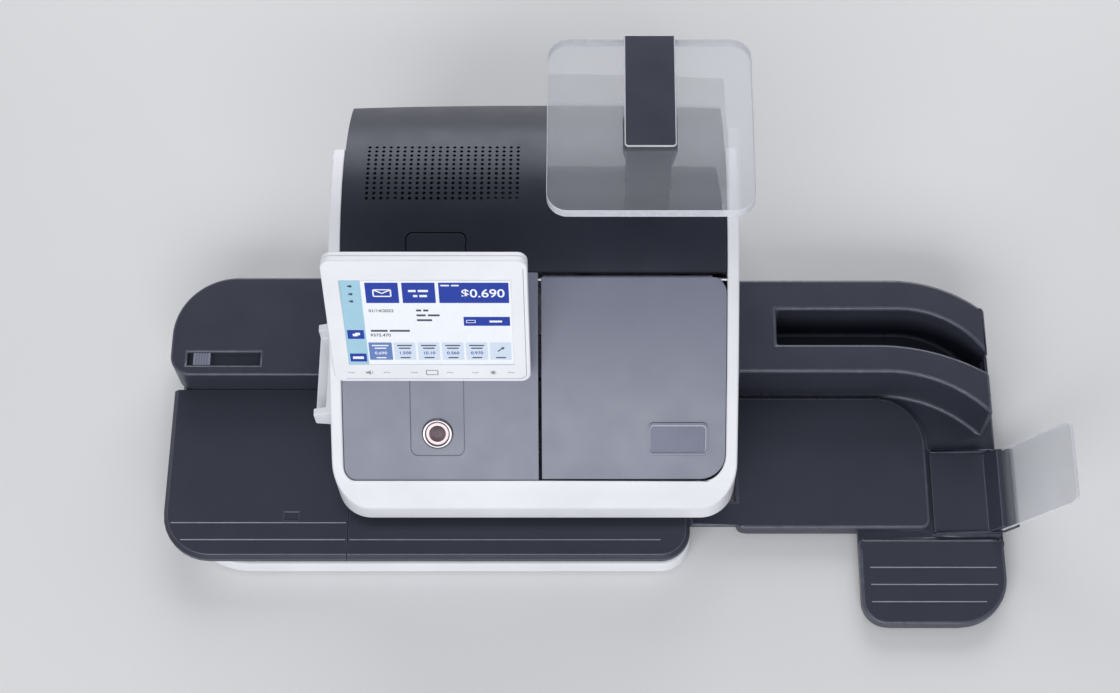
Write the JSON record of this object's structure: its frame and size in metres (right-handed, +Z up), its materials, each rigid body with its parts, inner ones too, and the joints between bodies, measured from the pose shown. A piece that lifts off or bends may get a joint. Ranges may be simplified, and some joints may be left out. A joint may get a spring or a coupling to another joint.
{
  "type": "postage meter",
  "caption": "Desktop postage meter with letter feed deck, arched body, tilting touch display, cartridge door, clear weigh plate and catch tray with a letter stop.",
  "frame": {"origin": "middle of the overall box, on the desk", "axes": "+X the way letters travel, to the right seen from the front; +Y from front to back; +Z up"},
  "size_m": [0.7312, 0.403, 0.2722],
  "materials": {
    "white_plastic": "fine satin moulding",
    "charcoal_plastic": "fine textured moulding",
    "cover_plastic": "satin moulding",
    "panel_plastic": "satin painted moulding",
    "clear_acrylic": "polished clear sheet",
    "chrome": "polished",
    "light_ring": "translucent",
    "button_metal": "brushed",
    "screen": "glossy display",
    "rubber": "matt",
    "steel": "zinc plated",
    "aluminium": "machined",
    "bronze": "sintered",
    "black_plastic": "black moulding",
    "motor_steel": "black coated",
    "circuit_board": "solder mask"
  },
  "bodies": {
    "housing": {"base_tray": "white_plastic", "rubber_feet": "rubber", "feed_deck": "charcoal_plastic", "main_deck": "charcoal_plastic", "label_platform": "charcoal_plastic", "label_inlet": "white_plastic", "outer_frame": "white_plastic", "top_cover": "cover_plastic", "rear_cover": "charcoal_plastic", "rear_screws": "steel", "power_inlet": "black_plastic", "data_sockets": "black_plastic", "front_panel": "panel_plastic", "button_bezel": "chrome", "button_ring": "light_ring", "display_bracket": "white_plastic", "load_cell": "aluminium", "load_cell_bracket": "steel", "path_plate": "steel", "rear_bulkhead": "steel", "bearing_plate": "steel", "shaft_bushes": "bronze", "link_belt": "rubber", "drive_belt": "rubber", "transport_motor": "motor_steel", "infeed_spring": "steel", "exit_spring": "steel", "cartridge_carrier": "charcoal_plastic", "ink_cartridges": "black_plastic", "main_board": "circuit_board", "power_supply": "steel", "loudspeaker": "black_plastic", "catch_tray": "charcoal_plastic"},
    "slider": {"label_slider": "panel_plastic"},
    "button": {"button_cap": "button_metal"},
    "key": {"top_key": "cover_plastic"},
    "door": {"cartridge_door": "panel_plastic", "door_pins": "steel", "door_badge": "panel_plastic"},
    "display": {"display_bezel": "white_plastic", "display_screen": "screen", "display_shell": "white_plastic", "display_pin": "steel"},
    "weigh_platform": {"weigh_plate": "clear_acrylic", "plate_strip": "charcoal_plastic", "weigh_post": "charcoal_plastic"},
    "infeed_drive": {"infeed_shaft": "steel", "infeed_rollers": "rubber", "infeed_pulleys": "aluminium"},
    "exit_drive": {"exit_shaft": "steel", "exit_rollers": "rubber", "exit_pulley": "aluminium"},
    "motor_drive": {"motor_pulley": "aluminium"},
    "infeed_press": {"infeed_carrier": "charcoal_plastic"},
    "infeed_press_wheels": {"infeed_press_rollers": "rubber"},
    "exit_press": {"exit_carrier": "charcoal_plastic"},
    "exit_press_wheels": {"exit_press_rollers": "rubber"},
    "stop": {"letter_stop": "clear_acrylic", "stop_slide": "charcoal_plastic"}
  },
  "joints": [
    {"name": "label_slide", "type": "slide", "parent": "housing", "child": "slider", "axis": [1, 0, 0], "range_m": [0, 0.036]},
    {"name": "start_button_press", "type": "slide", "parent": "housing", "child": "button", "axis": [0, 0.6008, -0.7994], "range_m": [0, 0.0015], "stiffness_N_per_m": 600},
    {"name": "top_key_press", "type": "slide", "parent": "housing", "child": "key", "axis": [0, 0, -1], "range_m": [0, 0.0015], "stiffness_N_per_m": 800},
    {"name": "door_lift", "type": "hinge", "parent": "housing", "child": "door", "pos_m": [0.01787, 0.0299, 0.17057], "axis": [-1, 0, 0], "range_deg": [0, 75]},
    {"name": "display_tilt", "type": "hinge", "parent": "housing", "child": "display", "pos_m": [-0.13983, -0.00898, 0.17726], "axis": [1, 0, 0], "range_deg": [-25, 6]},
    {"name": "weigh_deflect", "type": "slide", "parent": "housing", "child": "weigh_platform", "axis": [0, 0, -1], "range_m": [0, 0.0005], "stiffness_N_per_m": 20000},
    {"name": "infeed_spin", "type": "hinge", "parent": "housing", "child": "infeed_drive", "pos_m": [-0.17413, -0.0285, 0.0529], "axis": [0, 1, 0], "continuous": true},
    {"name": "exit_spin", "type": "hinge", "parent": "housing", "child": "exit_drive", "pos_m": [0.04987, -0.0285, 0.0529], "axis": [0, 1, 0], "continuous": true},
    {"name": "motor_spin", "type": "hinge", "parent": "housing", "child": "motor_drive", "pos_m": [-0.13713, 0.0165, 0.1], "axis": [0, 1, 0], "continuous": true},
    {"name": "infeed_press_dip", "type": "slide", "parent": "housing", "child": "infeed_press", "axis": [0, 0, -1], "range_m": [0, 0.003], "stiffness_N_per_m": 1500, "deforming": ["infeed_spring"]},
    {"name": "infeed_press_spin", "type": "hinge", "parent": "infeed_press", "child": "infeed_press_wheels", "pos_m": [-0.17413, -0.0285, 0.0225], "axis": [0, 1, 0], "continuous": true},
    {"name": "exit_press_dip", "type": "slide", "parent": "housing", "child": "exit_press", "axis": [0, 0, -1], "range_m": [0, 0.003], "stiffness_N_per_m": 1500, "deforming": ["exit_spring"]},
    {"name": "exit_press_spin", "type": "hinge", "parent": "exit_press", "child": "exit_press_wheels", "pos_m": [0.04987, -0.0285, 0.0225], "axis": [0, 1, 0], "continuous": true},
    {"name": "stop_extend", "type": "slide", "parent": "housing", "child": "stop", "axis": [1, 0, 0], "range_m": [0, 0.045]}
  ],
  "couplings": [
    {"joint": "exit_spin", "follows": "infeed_spin", "ratio": 1},
    {"joint": "motor_spin", "follows": "infeed_spin", "ratio": 1},
    {"joint": "infeed_press_spin", "follows": "infeed_spin", "ratio": -2.75},
    {"joint": "exit_press_spin", "follows": "infeed_spin", "ratio": -2.75}
  ]
}
